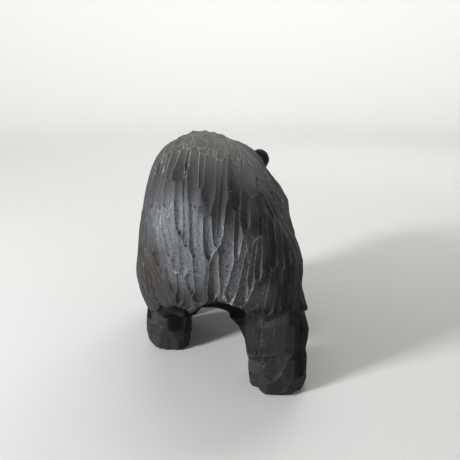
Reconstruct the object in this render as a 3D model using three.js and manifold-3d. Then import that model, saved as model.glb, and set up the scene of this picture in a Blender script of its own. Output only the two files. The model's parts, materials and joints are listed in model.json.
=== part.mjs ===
// A small walking bear, knife-carved from one block of wood and stained black.
//
// Millimetres, +Z up. The bear faces -Y and its left side is +X. It stands on four flat soles at z = 0,
// and the origin is under the middle of its bounding box.
//
// Every mass is a three.js sphere or cylinder bent onto stations: the trunk, neck and muzzle are bent
// spheres, the legs eight-sided columns with the broad flat cuts of a rough-out. The coat is cut away
// below its hem at the rear and joined to the bare masses under it, the passage between the legs is cut
// through, and long flutes are then cut along the lie of the coat.

import * as THREE from 'three';
import { mergeVertices } from 'three/addons/utils/BufferGeometryUtils.js';
import Module from 'manifold-3d';

// ---------------------------------------------------------------- driving dimensions

const HEIGHT = 94;               // top of the shoulder hump
const RUMP_Y = 61;               // rearmost point of the rump
const CHEST_Y = -50;             // front of the chest
const HALF_WIDTH = 33;           // of the trunk, at its widest
const WIDE_Z = 42;               // height at which the trunk is widest
const LEAN = 7.5;                // how far the back leans over towards the bear's left
const END_ROUNDNESS = 2.4;       // superellipse power that closes the trunk's two ends
const COAT_Z = 33;               // about where the coat ends and the bare legs begin
const HAUNCH_Y = 51;             // rear of the bare underbody, which the coat's hem overhangs
const HEM_Y = 35;                // the hem is cut from here to the rear

const LEG_X = 21.8;              // from the middle line to the centre of each hind foot
const FOOT_HALF_WIDTH = 11;
const FOOT_HALF_LENGTH = 13;
const ANKLE_Z = 17;

const PASSAGE = {                // the arched passage between the left and right legs
  right: -10.3,
  left: 14,
  top: 33.3,
  rightCorner: [12.3, 19.3],     // half width and height of the ellipse above each side wall
  leftCorner: [8, 11.3],
};

const BEYOND = 100;              // a distance past the bear, for cuts that run out of it

const HEAD_TURN = THREE.MathUtils.degToRad(26);  // towards the bear's right
const SKULL = new THREE.Vector3(-7, -53, 62);    // middle of the skull
const TAIL = new THREE.Vector3(6, 50, 6);        // the point that the coat's lie runs down to, over the rump

// ---------------------------------------------------------------- solids and geometry helpers

const wasm = await Module();
wasm.setup();

/** A closed three.js geometry as a manifold-3d solid. */
function solid(geometry) {
  const bare = geometry.index ? geometry.toNonIndexed() : geometry.clone();
  bare.deleteAttribute('normal');
  bare.deleteAttribute('uv');
  const merged = mergeVertices(bare, 1e-4);
  const triangles = [];
  const index = merged.index.array;
  for (let i = 0; i < index.length; i += 3) {
    const [a, b, c] = [index[i], index[i + 1], index[i + 2]];
    if (a !== b && b !== c && c !== a) triangles.push(a, b, c);
  }
  const mesh = new wasm.Mesh({
    numProp: 3,
    vertProperties: new Float32Array(merged.attributes.position.array),
    triVerts: new Uint32Array(triangles),
  });
  mesh.merge();
  return new wasm.Manifold(mesh);
}

/** A manifold-3d solid as a three.js geometry. */
function geometryOf(shape) {
  const mesh = shape.getMesh();
  const geometry = new THREE.BufferGeometry();
  geometry.setAttribute('position', new THREE.BufferAttribute(mesh.vertProperties, mesh.numProp));
  geometry.setIndex(new THREE.BufferAttribute(mesh.triVerts, 1));
  return geometry;
}

/** A smooth curve through stations [where, value, value...]; returns where => [values]. */
function through(stations) {
  const sorted = [...stations].sort((a, b) => a[0] - b[0]);
  const size = sorted[0].length - 1;
  const curve = new THREE.CubicInterpolant(
    sorted.map((s) => s[0]),
    sorted.flatMap((s) => s.slice(1)),
    size,
    new Float32Array(size),
  );
  return (where) => Array.from(curve.evaluate(where));
}

/** Moves each vertex of a geometry by a function of its position. */
function reshape(geometry, move) {
  const position = geometry.attributes.position;
  const p = new THREE.Vector3();
  for (let i = 0; i < position.count; i += 1) {
    p.fromBufferAttribute(position, i);
    move(p);
    position.setXYZ(i, p.x, p.y, p.z);
  }
  return geometry;
}

/** An outline of [x, z] as a solid between two distances along Y. */
function extruded(outline, front, rear, curveSegments = 1) {
  return new THREE.ExtrudeGeometry(outline, { depth: rear - front, bevelEnabled: false, curveSegments })
    .rotateX(Math.PI / 2)
    .translate(0, rear, 0);
}

/** Power curve of a superellipse: 1 at the middle, 0 at both ends. */
const closing = (t, power) => Math.max(0, 1 - Math.abs(t) ** power) ** (1 / power);

/** An ellipsoid with the given half sizes, turned and then placed. */
function ellipsoid(centre, halfSizes, turn = [0, 0, 0], sides = 14, rings = 9) {
  return new THREE.SphereGeometry(1, sides, rings)
    .scale(...halfSizes)
    .applyMatrix4(new THREE.Matrix4().makeRotationFromEuler(new THREE.Euler(...turn)))
    .translate(...centre);
}

/**
 * A sphere bent along a path. frameAt(t), for t from -1 to 1, gives the path's point, the directions
 * across it and out of it, and the half sizes in those two directions.
 */
function bentSphere(frameAt, roundness, sides, rings) {
  return reshape(new THREE.SphereGeometry(1, sides, rings), (p) => {
    const { point, across, out, halfWidth, halfHeight } = frameAt(p.y);
    const ring = Math.hypot(p.x, p.z);
    const size = ring < 1e-6 ? 0 : closing(p.y, roundness) / ring;
    const [x, z] = [p.x * size * halfWidth, p.z * size * halfHeight];
    p.copy(point).addScaledVector(across, x).addScaledVector(out, z);
  });
}

// ---------------------------------------------------------------- trunk, hips and shoulders

/** A trunk through stations [y, spine shift, widest height, back height, belly height, half width]. */
function trunk(stations, sides, rings, roundness = END_ROUNDNESS) {
  const at = through(stations);
  const front = Math.min(...stations.map((s) => s[0]));
  const rear = Math.max(...stations.map((s) => s[0]));
  return reshape(new THREE.SphereGeometry(1, sides, rings), (p) => {
    const ring = Math.hypot(p.x, p.z);
    const y = THREE.MathUtils.mapLinear(p.y, -1, 1, front, rear);
    const [shift, wideZ, backZ, bellyZ, halfWidth] = at(y);
    if (ring < 1e-6) {
      p.set(shift, y, wideZ);
      return;
    }
    const size = closing(p.y, roundness);
    const [c, s] = [p.x / ring, p.z / ring];
    const upper = c > 0 ? 2.25 : 1.8;
    const power = s < 0 ? 3.2 : upper;
    const squared = (Math.abs(c) ** power + Math.abs(s) ** power) ** (-1 / power);
    const height = s * squared * size;
    const across = c * squared * size * halfWidth;
    const lean = LEAN * Math.max(height, 0) ** 2;
    p.set(shift + across + lean, y, wideZ + height * (s < 0 ? wideZ - bellyZ : backZ - wideZ));
  });
}

const coat = () => trunk([
  [RUMP_Y, 0.5, WIDE_Z + 7, 91, 21, HALF_WIDTH],
  [38, 0.5, WIDE_Z + 2, 92, 26, HALF_WIDTH],
  [12, 0, WIDE_Z + 2, 92, 28, HALF_WIDTH],
  [-12, 0.2, WIDE_Z + 2, 94, 28, HALF_WIDTH],
  [-30, -1, WIDE_Z + 4, HEIGHT + 2, 30, HALF_WIDTH],
  [CHEST_Y, -4, 60, 90, 36, HALF_WIDTH - 3],
], 26, 16);

/** The bare belly and haunches under the coat, with a blunter rear end. */
const underbody = () => trunk([
  [HAUNCH_Y, 0.5, 42, 66, 24, HALF_WIDTH - 6],
  [12, 0.5, 40, 70, 22, HALF_WIDTH - 3],
  [CHEST_Y + 3, -1, 44, 70, 24, HALF_WIDTH - 3],
], 20, 12, 4.5);

/** What is cut away below the coat's hem at the rear, which dips to a tip under the tail. */
function belowHem() {
  const hem = [   // [x, z], from the bear's right to its left
    [-40, 22], [-30, 31], [-24, 34], [-18.5, 34], [-13.5, 31.5], [-10, 35], [-7, 37.5], [-1, 39.5],
    [5, 38.6], [9.2, 35.4], [12, 37], [15.5, 36.5], [18.5, 29], [23, 25.5], [40, 22],
  ];
  const below = [hem.at(-1)[0], hem[0][0]].map((x) => [x, -BEYOND]);
  const outline = new THREE.Shape([...hem, ...below].map(([x, z]) => new THREE.Vector2(x, z)));
  return extruded(outline, HEM_Y, BEYOND);
}

const hips = () => [
  ellipsoid([-14.4, 33, 45], [18.2, 24, 22]),
  ellipsoid([17, 26, 41], [16.9, 22, 20]),
];

const shoulders = () => [
  ellipsoid([-18.8, -30, 46], [16.4, 18, 26], [0.2, 0, 0]),
  ellipsoid([18.5, -27, 47], [15.2, 17, 25], [0.1, 0, 0]),
];

// ---------------------------------------------------------------- legs

/** An eight-sided column through stations [z, x, y, half width, half length]. */
function column(stations) {
  const at = through(stations);
  const levels = stations.map((s) => s[0]).sort((a, b) => a - b);
  const corner = 1 / Math.cos(Math.PI / 8);
  const prism = new THREE.CylinderGeometry(1, 1, 1, 8, levels.length - 1)
    .rotateX(Math.PI / 2)
    .rotateZ(Math.PI / 8);
  return reshape(prism, (p) => {
    const z = levels[Math.round((p.z + 0.5) * (levels.length - 1))];
    const [x, y, halfWidth, halfLength] = at(z);
    p.set(x + p.x * halfWidth * corner, y + p.y * halfLength * corner, z);
  });
}

/** A leg from inside its hip or shoulder down to its sole. */
function leg({ top, foot, thickness }) {
  const [topX, topY, topZ] = top;
  const [footX, footY] = foot;
  const upwards = (z) => Math.max(0, (z - ANKLE_Z) / (topZ - ANKLE_Z));
  const x = (z) => THREE.MathUtils.lerp(footX, topX, upwards(z));
  const y = (z) => THREE.MathUtils.lerp(footY, topY, upwards(z));
  const [w, l] = [FOOT_HALF_WIDTH, FOOT_HALF_LENGTH];
  return column([
    [topZ, topX, topY, w - 2, thickness - 2],
    [COAT_Z, x(COAT_Z), y(COAT_Z), w + 1.4, thickness],
    [ANKLE_Z + 3, footX, y(ANKLE_Z + 3), w + 0.2, l - 1.4],
    [ANKLE_Z, footX, footY - 0.3, w - 0.7, l - 2],
    [ANKLE_Z - 2.5, footX, footY - 0.6, w, l - 0.9],
    [6, footX, footY - 1.2, w + 0.2, l + 0.9],
    [0, footX, footY - 1.2, w - 0.4, l + 0.4],
  ]);
}

const LEGS = {
  hindRight: { top: [-18, 36, 50], foot: [-LEG_X - 0.5, 39.5], thickness: 13.5 },
  hindLeft: { top: [22, 20, 50], foot: [LEG_X, 6], thickness: 15 },
  foreRight: { top: [-17, -31, 54], foot: [-20, -50], thickness: 13 },
  foreLeft: { top: [18, -27, 54], foot: [20.5, -28], thickness: 13.5 },
};

/** The notches between the toes of one foot. */
function toeNotches({ foot }) {
  const [footX, footY] = foot;
  const front = footY - 1.2 - FOOT_HALF_LENGTH;
  return [-4.4, 0, 4.4].map((x) => ellipsoid([footX + x, front - 1, 3.5], [0.9, 3.2, 6], [-0.3, 0, 0], 6, 6));
}

// ---------------------------------------------------------------- head

const UP = new THREE.Vector3(0, 0, 1);

/** A point given from the skull's middle: to the bear's left, ahead, and up, with the head turned. */
const fromSkull = (left, ahead, up) => new THREE.Vector3(left, -ahead, up)
  .applyAxisAngle(UP, -HEAD_TURN)
  .add(SKULL);

/** An ellipsoid placed from the skull's middle, turned with the head and pitched nose-down. */
function onHead(place, halfSizes, { pitch = 0, roll = 0, sides = 14, rings = 9 } = {}) {
  return new THREE.SphereGeometry(1, sides, rings)
    .scale(...halfSizes)
    .rotateY(roll)
    .rotateX(pitch)
    .rotateZ(-HEAD_TURN)
    .translate(...fromSkull(...place));
}

/** The neck and head as one bent sphere through stations [t, point, half width, half height]. */
function neckAndMuzzle() {
  const stations = [
    [-1, new THREE.Vector3(1, -14, 60), 25, 27],
    [-0.6, new THREE.Vector3(-1, -30, 61.5), 25, 27],
    [-0.1, fromSkull(1, -8, 1), 21.5, 21],
    [0.2, fromSkull(0, 3, 0), 17.5, 16.5],
    [0.45, fromSkull(0, 11, -3), 12.5, 11.8],
    [0.7, fromSkull(0, 17, -5.5), 10, 9.6],
    [1, fromSkull(0, 24, -7.5), 9.2, 8.6],
  ];
  const at = through(stations.map(([t, point, ...sizes]) => [t, ...point, ...sizes]));
  const pointAt = (t) => new THREE.Vector3(...at(THREE.MathUtils.clamp(t, -1, 1)));
  return bentSphere((t) => {
    const point = pointAt(t);
    const ahead = pointAt(t + 0.02).sub(pointAt(t - 0.02)).normalize();
    const across = new THREE.Vector3().crossVectors(ahead, UP).normalize();
    const out = new THREE.Vector3().crossVectors(across, ahead);
    const [halfWidth, halfHeight] = at(t).slice(3);
    return { point, across, out, halfWidth, halfHeight };
  }, 3.2, 18, 14);
}

const EAR = { across: 14, behind: 1, up: 12.3, roll: 0.35 };

/** The neck with the muzzle, the forehead, the nose, the cheeks and the ears. */
const headMasses = () => [
  neckAndMuzzle(),
  onHead([0, 4, 6], [12.5, 8, 7.5]),
  onHead([0, 22.8, -2.6], [3.8, 2.6, 2.8]),
  ...[1, -1].flatMap((side) => [
    onHead([side * 9.5, 1, -5], [9, 12, 10.5]),
    onHead([side * EAR.across, -EAR.behind, EAR.up], [5.6, 3.6, 5.9], { roll: side * EAR.roll, sides: 12 }),
  ]),
];

/** The hollows of the ears, the eye sockets, the mouth line and the nostrils. */
const headCuts = () => [1, -1].flatMap((side) => [
  onHead([side * (EAR.across + 0.6), 2.4 - EAR.behind, EAR.up + 0.8], [3.7, 2.6, 4.1], {
    roll: side * EAR.roll,
    sides: 10,
    rings: 7,
  }),
  onHead([side * 9.2, 13.4, 2.4], [3, 2.8, 2.4], { sides: 8, rings: 6 }),
  onHead([side * 9.6, 18.5, -9.6], [4.6, 8.5, 0.9], { pitch: 0.2, sides: 8, rings: 6 }),
  onHead([side * 2, 25.2, -3.2], [1, 1.2, 0.8], { sides: 6, rings: 5 }),
]);

const eyes = () => [1, -1].map((side) => (
  onHead([side * 8.5, 12.2, 2.4], [1.8, 1.8, 1.7], { sides: 8, rings: 6 })
));

// ---------------------------------------------------------------- passage between the legs

/** The arched passage between the left and right legs, from end to end. */
function passage() {
  const { right, left, top } = PASSAGE;
  const [rightWidth, rightHeight] = PASSAGE.rightCorner;
  const [leftWidth, leftHeight] = PASSAGE.leftCorner;
  const outline = new THREE.Shape();
  outline.moveTo(right, -BEYOND);
  outline.lineTo(left, -BEYOND);
  outline.absellipse(left - leftWidth, top - leftHeight, leftWidth, leftHeight, 0, Math.PI / 2, false);
  outline.absellipse(
    right + rightWidth, top - rightHeight, rightWidth, rightHeight, Math.PI / 2, Math.PI, false,
  );
  outline.closePath();
  return extruded(outline, -BEYOND, BEYOND, 6);
}

/** The wood that the passage's right upper corner is cut from, at the rear. */
function archSide() {
  const [radius, length] = [14, 20];
  return new THREE.CylinderGeometry(radius, radius, length, 16)
    .translate(-9, HAUNCH_Y - 1 - length / 2, 27);
}

/** The low inner corner where the left hind leg meets the belly. */
const groin = () => ellipsoid([13.5, 12, 24], [7, 14, 8.5], [0, 0, 0], 10, 8);

// ---------------------------------------------------------------- flutes

/** The coat's lie at a point: back and down the flanks, and in towards the tail over the rump. */
function lie(p) {
  const overRump = THREE.MathUtils.smoothstep(p.y, 10, 45);
  const overNeck = THREE.MathUtils.smoothstep(-p.y, 25, 50);
  const onTop = THREE.MathUtils.smoothstep(p.z, 70, 90);
  const back = 0.3 + 0.6 * overNeck + 0.8 * onTop;
  const flank = new THREE.Vector3(0, back, -1).normalize();
  const rump = TAIL.clone().sub(p).normalize();
  return flank.lerp(rump, overRump);
}

/** Traces a path over the body from where a ray meets it, along the lie; null if the ray misses. */
function trace(body, caster, origin, aim, length, steps) {
  caster.set(origin, aim.clone().sub(origin).normalize());
  let hit = caster.intersectObject(body)[0];
  if (!hit) return null;
  const path = [];
  const reach = 6;
  for (let i = 0; i <= steps; i += 1) {
    const out = hit.face.normal.clone();
    const run = lie(hit.point);
    const along = run.addScaledVector(out, -run.dot(out)).normalize();
    path.push({ point: hit.point.clone(), along, out });
    const next = hit.point.clone().addScaledVector(along, length / steps).addScaledVector(out, reach);
    caster.set(next, out.clone().negate());
    const found = caster.intersectObject(body)[0];
    if (!found || found.distance > 2 * reach) return path;
    hit = found;
  }
  return path;
}

/** A flat-bottomed flute along a traced path. */
function flute(path, width, depth) {
  const flat = Math.sin(Math.PI / 3);  // how far a hexagon's flats stand from its centre
  const halfHeight = 3 * depth;
  const lift = flat * halfHeight - depth;
  return bentSphere((t) => {
    const where = THREE.MathUtils.mapLinear(t, -1, 1, 0, path.length - 1);
    const i = Math.min(Math.floor(where), path.length - 2);
    const part = where - i;
    const [a, b] = [path[i], path[i + 1]];
    const out = a.out.clone().lerp(b.out, part).normalize();
    const along = a.along.clone().lerp(b.along, part).normalize();
    const across = new THREE.Vector3().crossVectors(along, out).normalize();
    const point = a.point.clone().lerp(b.point, part).addScaledVector(out, lift);
    return { point, across, out, halfWidth: width * 0.74, halfHeight };
  }, 3, 6, path.length + 1);
}

const FLUTE_WIDTH = 8;
const FLUTE_DEPTH = 0.9;
const FLUTE_STEPS = 3;           // straight pieces in a flute's path
const FAR = 90;                  // where the rays that find the surface start from
const MID_Z = 48;                // height of the trunk's axis, which the rays aim at

/** A point at the given bearing and elevation, in degrees, FAR away from a centre. */
function around(centre, bearing, elevation) {
  const [b, e] = [bearing, elevation].map(THREE.MathUtils.degToRad);
  return new THREE.Vector3(Math.cos(b) * Math.cos(e), Math.sin(b) * Math.cos(e), Math.sin(e))
    .multiplyScalar(FAR)
    .add(centre);
}

/** Start rays over the rump, in tiers that are staggered like roof tiles. */
function rumpRays() {
  const aim = new THREE.Vector3(1, 30, MID_Z);
  const tiers = [
    { elevation: 66, count: 4, length: 28 },
    { elevation: 40, count: 7, length: 30 },
    { elevation: 10, count: 8, length: 26 },
  ];
  return tiers.flatMap(({ elevation, count, length }, tier) => Array.from({ length: count }, (_, i) => {
    const bearing = THREE.MathUtils.mapLinear(i + 0.5 * (tier % 2), 0, count - 0.5, 2, 178);
    return { origin: around(aim, bearing, elevation), aim, length };
  }));
}

/** Start rays along the back and both flanks. */
function trunkRays() {
  const rays = [];
  for (const y of [8, -22]) {
    for (let elevation = 63; elevation < 120; elevation += 11) {
      const aim = new THREE.Vector3(0, y, MID_Z);
      rays.push({ origin: around(aim, 0, elevation), aim, length: 34 });
    }
  }
  const pitch = 9;
  for (const bearing of [0, 180]) {
    [50, 12].forEach((elevation, tier) => {
      for (let y = 25 - (tier * pitch) / 2; y > -44; y -= pitch) {
        const aim = new THREE.Vector3(0, y, MID_Z);
        rays.push({ origin: around(aim, bearing, elevation), aim, length: 32 });
      }
    });
  }
  return rays;
}

/** Start rays for the ruff behind each cheek. */
const ruffRays = () => [1, -1].flatMap((side) => [10, 3, -4].map((up) => (
  { origin: fromSkull(side * FAR, -2, up * 3), aim: fromSkull(0, -2, up), length: 20 }
)));

function flutes(body) {
  const caster = new THREE.Raycaster();
  return [...rumpRays(), ...trunkRays(), ...ruffRays()]
    .map(({ origin, aim, length }) => trace(body, caster, origin, aim, length, FLUTE_STEPS))
    .filter((path) => path && path.length > 2)
    .map((path) => flute(path, FLUTE_WIDTH, FLUTE_DEPTH));
}

// ---------------------------------------------------------------- the bear

const joined = (geometries) => wasm.Manifold.union(geometries.map(solid));

function carve() {
  const coated = joined([coat(), ...hips()]).subtract(solid(belowHem()));
  const legs = Object.values(LEGS).map(leg);
  const bare = joined([underbody(), archSide(), ...shoulders(), ...legs, ...headMasses()]);
  const rough = coated.add(bare).subtract(solid(passage())).add(solid(groin()));
  const roughMesh = new THREE.Mesh(geometryOf(rough));
  const cuts = joined([...flutes(roughMesh), ...headCuts(), ...Object.values(LEGS).flatMap(toeNotches)]);
  return geometryOf(rough.subtract(cuts).add(joined(eyes())));
}

const wood = new THREE.MeshStandardMaterial({ color: 0x232427, roughness: 0.55, metalness: 0 });
const bear = new THREE.Mesh(carve(), wood);
bear.name = 'bear';
bear.geometry.computeBoundingBox();
const middle = bear.geometry.boundingBox.getCenter(new THREE.Vector3());
bear.position.set(-middle.x, -middle.y, 0);

const group = new THREE.Group();
group.add(bear);

export default group;
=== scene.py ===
"""Looks of the small carved bear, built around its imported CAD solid.

The CAD solid is remeshed and smoothed into a plain bear, and knife cuts are then traced over it along the
lie of the coat. Each cut takes wood away to its own depth, the deepest cut wins at every point, and the mesh
is split along the lines where the winner changes, so every ridge between two cuts is a crisp edge.
"""

import json
import math

import bpy
import numpy as np
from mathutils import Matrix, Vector
from mathutils.bvhtree import BVHTree


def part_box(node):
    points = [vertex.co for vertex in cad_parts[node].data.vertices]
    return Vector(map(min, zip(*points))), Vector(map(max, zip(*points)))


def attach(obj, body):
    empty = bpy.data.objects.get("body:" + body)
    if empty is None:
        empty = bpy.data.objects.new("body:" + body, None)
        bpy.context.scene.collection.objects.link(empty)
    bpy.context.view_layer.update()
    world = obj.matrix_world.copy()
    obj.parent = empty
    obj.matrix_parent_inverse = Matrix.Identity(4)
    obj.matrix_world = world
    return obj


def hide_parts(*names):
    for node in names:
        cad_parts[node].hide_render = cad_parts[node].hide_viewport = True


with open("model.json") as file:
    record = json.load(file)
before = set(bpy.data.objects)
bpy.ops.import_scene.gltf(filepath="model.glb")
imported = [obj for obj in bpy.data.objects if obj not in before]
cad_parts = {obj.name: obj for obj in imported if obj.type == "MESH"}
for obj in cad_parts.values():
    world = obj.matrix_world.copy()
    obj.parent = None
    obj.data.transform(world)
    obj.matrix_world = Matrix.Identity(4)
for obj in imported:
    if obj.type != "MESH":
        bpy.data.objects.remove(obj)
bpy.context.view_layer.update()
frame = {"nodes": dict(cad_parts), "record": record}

MM = 0.001                                   # Blender works in metres, the carving below in millimetres
LOW, HIGH = (np.array(corner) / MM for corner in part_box("bear"))
REAR, FRONT = HIGH[1], LOW[1]

random = np.random.default_rng(7)


# ---------------------------------------------------------------- small helpers

def smoothstep(x, low, high):
    """0 below low, 1 above high and a smooth ramp between."""
    t = np.clip((np.asarray(x, float) - low) / (high - low), 0, 1)
    return t * t * (3 - 2 * t)


def unit(v):
    """Vectors scaled to length 1 along their last axis."""
    v = np.asarray(v, float)
    return v / np.maximum(np.linalg.norm(v, axis=-1, keepdims=True), 1e-12)


def tangent(direction, normal):
    """The part of a direction that lies in the surface, at length 1."""
    return unit(direction - np.sum(direction * normal, -1, keepdims=True) * normal)


# ---------------------------------------------------------------- the plain bear

VOXEL = 1.0           # mm; the finished mesh must stay under 200,000 triangles
SMOOTH_AREA = 36.3                           # smoothing passes, times the square of the voxel
SMOOTH_STRENGTH = 0.55
KEPT_BELOW_HEM = 0.93                        # how much of the shape under the hem smoothing leaves alone


def remeshed(node):
    """A CAD node as vertices (mm) and triangles of even size."""
    source = frame["nodes"][node]
    copy = bpy.data.objects.new("remesh", source.data.copy())
    bpy.context.collection.objects.link(copy)
    modifier = copy.modifiers.new("remesh", "REMESH")
    modifier.mode = "VOXEL"
    modifier.voxel_size = VOXEL * MM
    evaluated = copy.evaluated_get(bpy.context.evaluated_depsgraph_get())
    mesh = evaluated.to_mesh()
    mesh.calc_loop_triangles()
    points = np.empty(len(mesh.vertices) * 3)
    mesh.vertices.foreach_get("co", points)
    corners = np.empty(len(mesh.loop_triangles) * 3, int)
    mesh.loop_triangles.foreach_get("vertices", corners)
    evaluated.to_mesh_clear()
    bpy.data.objects.remove(copy)
    return points.reshape(-1, 3) / MM, corners.reshape(-1, 3)


def edges_of(triangles):
    """Every edge once."""
    pairs = np.concatenate([triangles[:, [0, 1]], triangles[:, [1, 2]], triangles[:, [2, 0]]])
    return np.unique(np.sort(pairs, axis=1), axis=0)


def vertex_normals(points, triangles):
    a, b, c = (points[triangles[:, i]] for i in range(3))
    area = np.cross(b - a, c - a)
    total = np.zeros_like(points)
    for i in range(3):
        np.add.at(total, triangles[:, i], area)
    return unit(total)


def smoothed(values, edges, strength, passes):
    """Values averaged over neighbours again and again; strength is per vertex, from 0 to 1."""
    count = np.bincount(edges.ravel(), minlength=len(values))[:, None]
    for _ in range(passes):
        total = np.stack([
            np.bincount(edges[:, 0], values[edges[:, 1], k], len(values))
            + np.bincount(edges[:, 1], values[edges[:, 0], k], len(values))
            for k in range(values.shape[1])
        ], axis=1)
        values = values + strength[:, None] * (total / count - values)
    return values


SKULL = np.array([LOW[0] + 27.5, FRONT + 23.3, 62.0])
HEAD_TURN = math.radians(26)
AHEAD = np.array([-math.sin(HEAD_TURN), -math.cos(HEAD_TURN), 0.0])
ACROSS = np.array([math.cos(HEAD_TURN), -math.sin(HEAD_TURN), 0.0])    # towards the bear's left


def on_skull(points):
    """Coordinates from the middle of the skull: left, ahead, up."""
    offset = points - SKULL
    return np.stack([offset @ ACROSS, offset @ AHEAD, offset[:, 2]], axis=1)


def near(points, centre, reach):
    """1 at a centre, falling to 0 at the given reach."""
    return 1 - smoothstep(np.linalg.norm(points - centre, axis=1), 0.5 * reach, reach)


HEM = np.array([                              # x and z of the coat's lower edge at the rear
    [-30, 31], [-25, 34.5], [-20.5, 34], [-18, 31.5], [-15.5, 30], [-12.6, 30.2], [-9.5, 34], [-7.5, 37],
    [-5, 39.8], [-1.5, 41.8], [1, 42.2], [4, 41.3], [5.5, 39.5], [8.8, 35.6], [11.5, 38], [15.2, 38.5],
    [16.5, 36.5], [20, 35], [22.5, 32], [24, 28], [30, 24],
])
HEM_Z = 31.0                                 # height of the coat's lower edge along the flanks
HEM_WAVE = 1.6                               # mm that the edge waves up and down along the flanks
HEM_TOOTH = 1.5                              # mm that its pointed locks rise from their tips


def hem_height(points):
    """Height of the coat's lower edge above or below each point."""
    rear = smoothstep(points[:, 1], REAR - 45, REAR - 25)
    along = points[:, 0] + points[:, 1]
    locks = np.abs((0.17 * along + 0.25 * np.sin(0.4 * along)) % 2 - 1)
    teeth = HEM_WAVE * np.sin(0.21 * along) + HEM_TOOTH * locks
    plain = HEM_Z - 0.5 + teeth
    return plain + rear * (np.interp(points[:, 0], *HEM.T) - plain)


def plain_bear():
    """The bear with its upper facets and flutes smoothed away, and with a face.

    Its ears, hem, arch and legs keep their shape.
    """
    points, triangles = remeshed("bear")
    edges = edges_of(triangles)
    face = on_skull(points)
    kept = KEPT_BELOW_HEM * (1 - smoothstep(points[:, 2] - hem_height(points), 1, 9))
    for side in (1, -1):
        kept = np.maximum(kept, near(face, EAR * [side, 1, 1], 10))
    strength = SMOOTH_STRENGTH * (1 - kept)
    passes = int(SMOOTH_AREA / VOXEL ** 2)
    points = smoothed(points, edges, strength, passes)
    points = with_face(points, triangles)
    points[:, 2] = np.maximum(points[:, 2], 0)
    return points, triangles


# Places on the head are left, ahead and up from the middle of the skull, for the bear's left side.
EYE = np.array([8.8, 13.8, 3.4])
EYE_RADIUS, EYE_BULGE = 2.3, 1.7
SOCKET_RADIUS, SOCKET_DEPTH = 5.6, 1.4
BROW_ABOVE_EYE = np.array([0, -0.5, 4.2])
BROW_RADIUS, BROW_RISE = 3.4, 1.5
BROW_SQUASH = np.array([0.55, 1.0, 1.2])     # below 1 makes the brow longer that way
EAR = np.array([14.5, 0, 14])
NOSE_Z, NOSE_AHEAD = -2.4, 19.5              # the nose pad's height, and where the muzzle's tip begins
PAD_HALF_WIDTH, PAD_HALF_HEIGHT, PAD_RISE = 4.3, 3.1, 1.0
NOSTRIL_X, NOSTRIL_DROP, NOSTRIL_DEPTH = 1.9, 0.7, 1.6
GROOVE_HALF_WIDTH, GROOVE_DEPTH = 0.7, 0.7   # of the groove from the nose to the mouth
MOUTH_Z, MOUTH_AHEAD = -8.6, 24
LIP_HALF_WIDTH, LIP_DEPTH = 0.75, 1.1


def mouth_height(face):
    """Height of the mouth line above the middle of the skull, lower towards its corners and then up."""
    return MOUTH_Z - 0.10 * (MOUTH_AHEAD - face[:, 1]) + 1.6 * (1 - smoothstep(face[:, 1], 8, 12))


def on_nose_pad(face):
    """Distance from the middle of the nose pad, which is 1 at the pad's edge."""
    return np.hypot(face[:, 0] / PAD_HALF_WIDTH, (face[:, 2] - NOSE_Z) / PAD_HALF_HEIGHT)


def with_face(points, triangles):
    """Eyes in their sockets under a brow, a nose pad with nostrils, and the mouth line."""
    normals = vertex_normals(points, triangles)
    face = on_skull(points)
    rise = np.zeros(len(points))
    for side in (1, -1):
        eye = face[np.argmin(np.linalg.norm(face - EYE * [side, 1, 1], axis=1))]
        distance = np.linalg.norm(face - eye, axis=1)
        rise -= SOCKET_DEPTH * (1 - smoothstep(distance, 2.4, SOCKET_RADIUS))
        rise += EYE_BULGE * np.sqrt(np.clip(1 - (distance / EYE_RADIUS) ** 2, 0, 1))
        brow = np.linalg.norm((face - eye - BROW_ABOVE_EYE) * BROW_SQUASH, axis=1)
        rise += BROW_RISE * (1 - smoothstep(brow, 0.6, BROW_RADIUS))
    across, up = face[:, 0], face[:, 2] - NOSE_Z
    front = smoothstep(face[:, 1], NOSE_AHEAD - 1, NOSE_AHEAD + 1)
    rise += PAD_RISE * front * (1 - smoothstep(on_nose_pad(face), 0.82, 1.05))
    nostril = np.hypot(np.abs(across) - NOSTRIL_X, up + NOSTRIL_DROP)
    rise -= NOSTRIL_DEPTH * front * (1 - smoothstep(nostril, 0.5, 1.3))
    under_nose = smoothstep(up, -6.2, -5.6) * (1 - smoothstep(up, -3.2, -2.8))
    rise -= GROOVE_DEPTH * front * under_nose * np.exp(-(across / GROOVE_HALF_WIDTH) ** 2)
    off_lips = (face[:, 2] - mouth_height(face)) / LIP_HALF_WIDTH
    rise -= LIP_DEPTH * np.exp(-off_lips ** 2) * smoothstep(face[:, 1], 8.5, 10.5)
    return points + normals * rise[:, None]


# ---------------------------------------------------------------- the lie of the coat

TAIL = np.array([8.0, REAR - 6.0, 0.0])      # the coat draws in towards a line above this point


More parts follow.
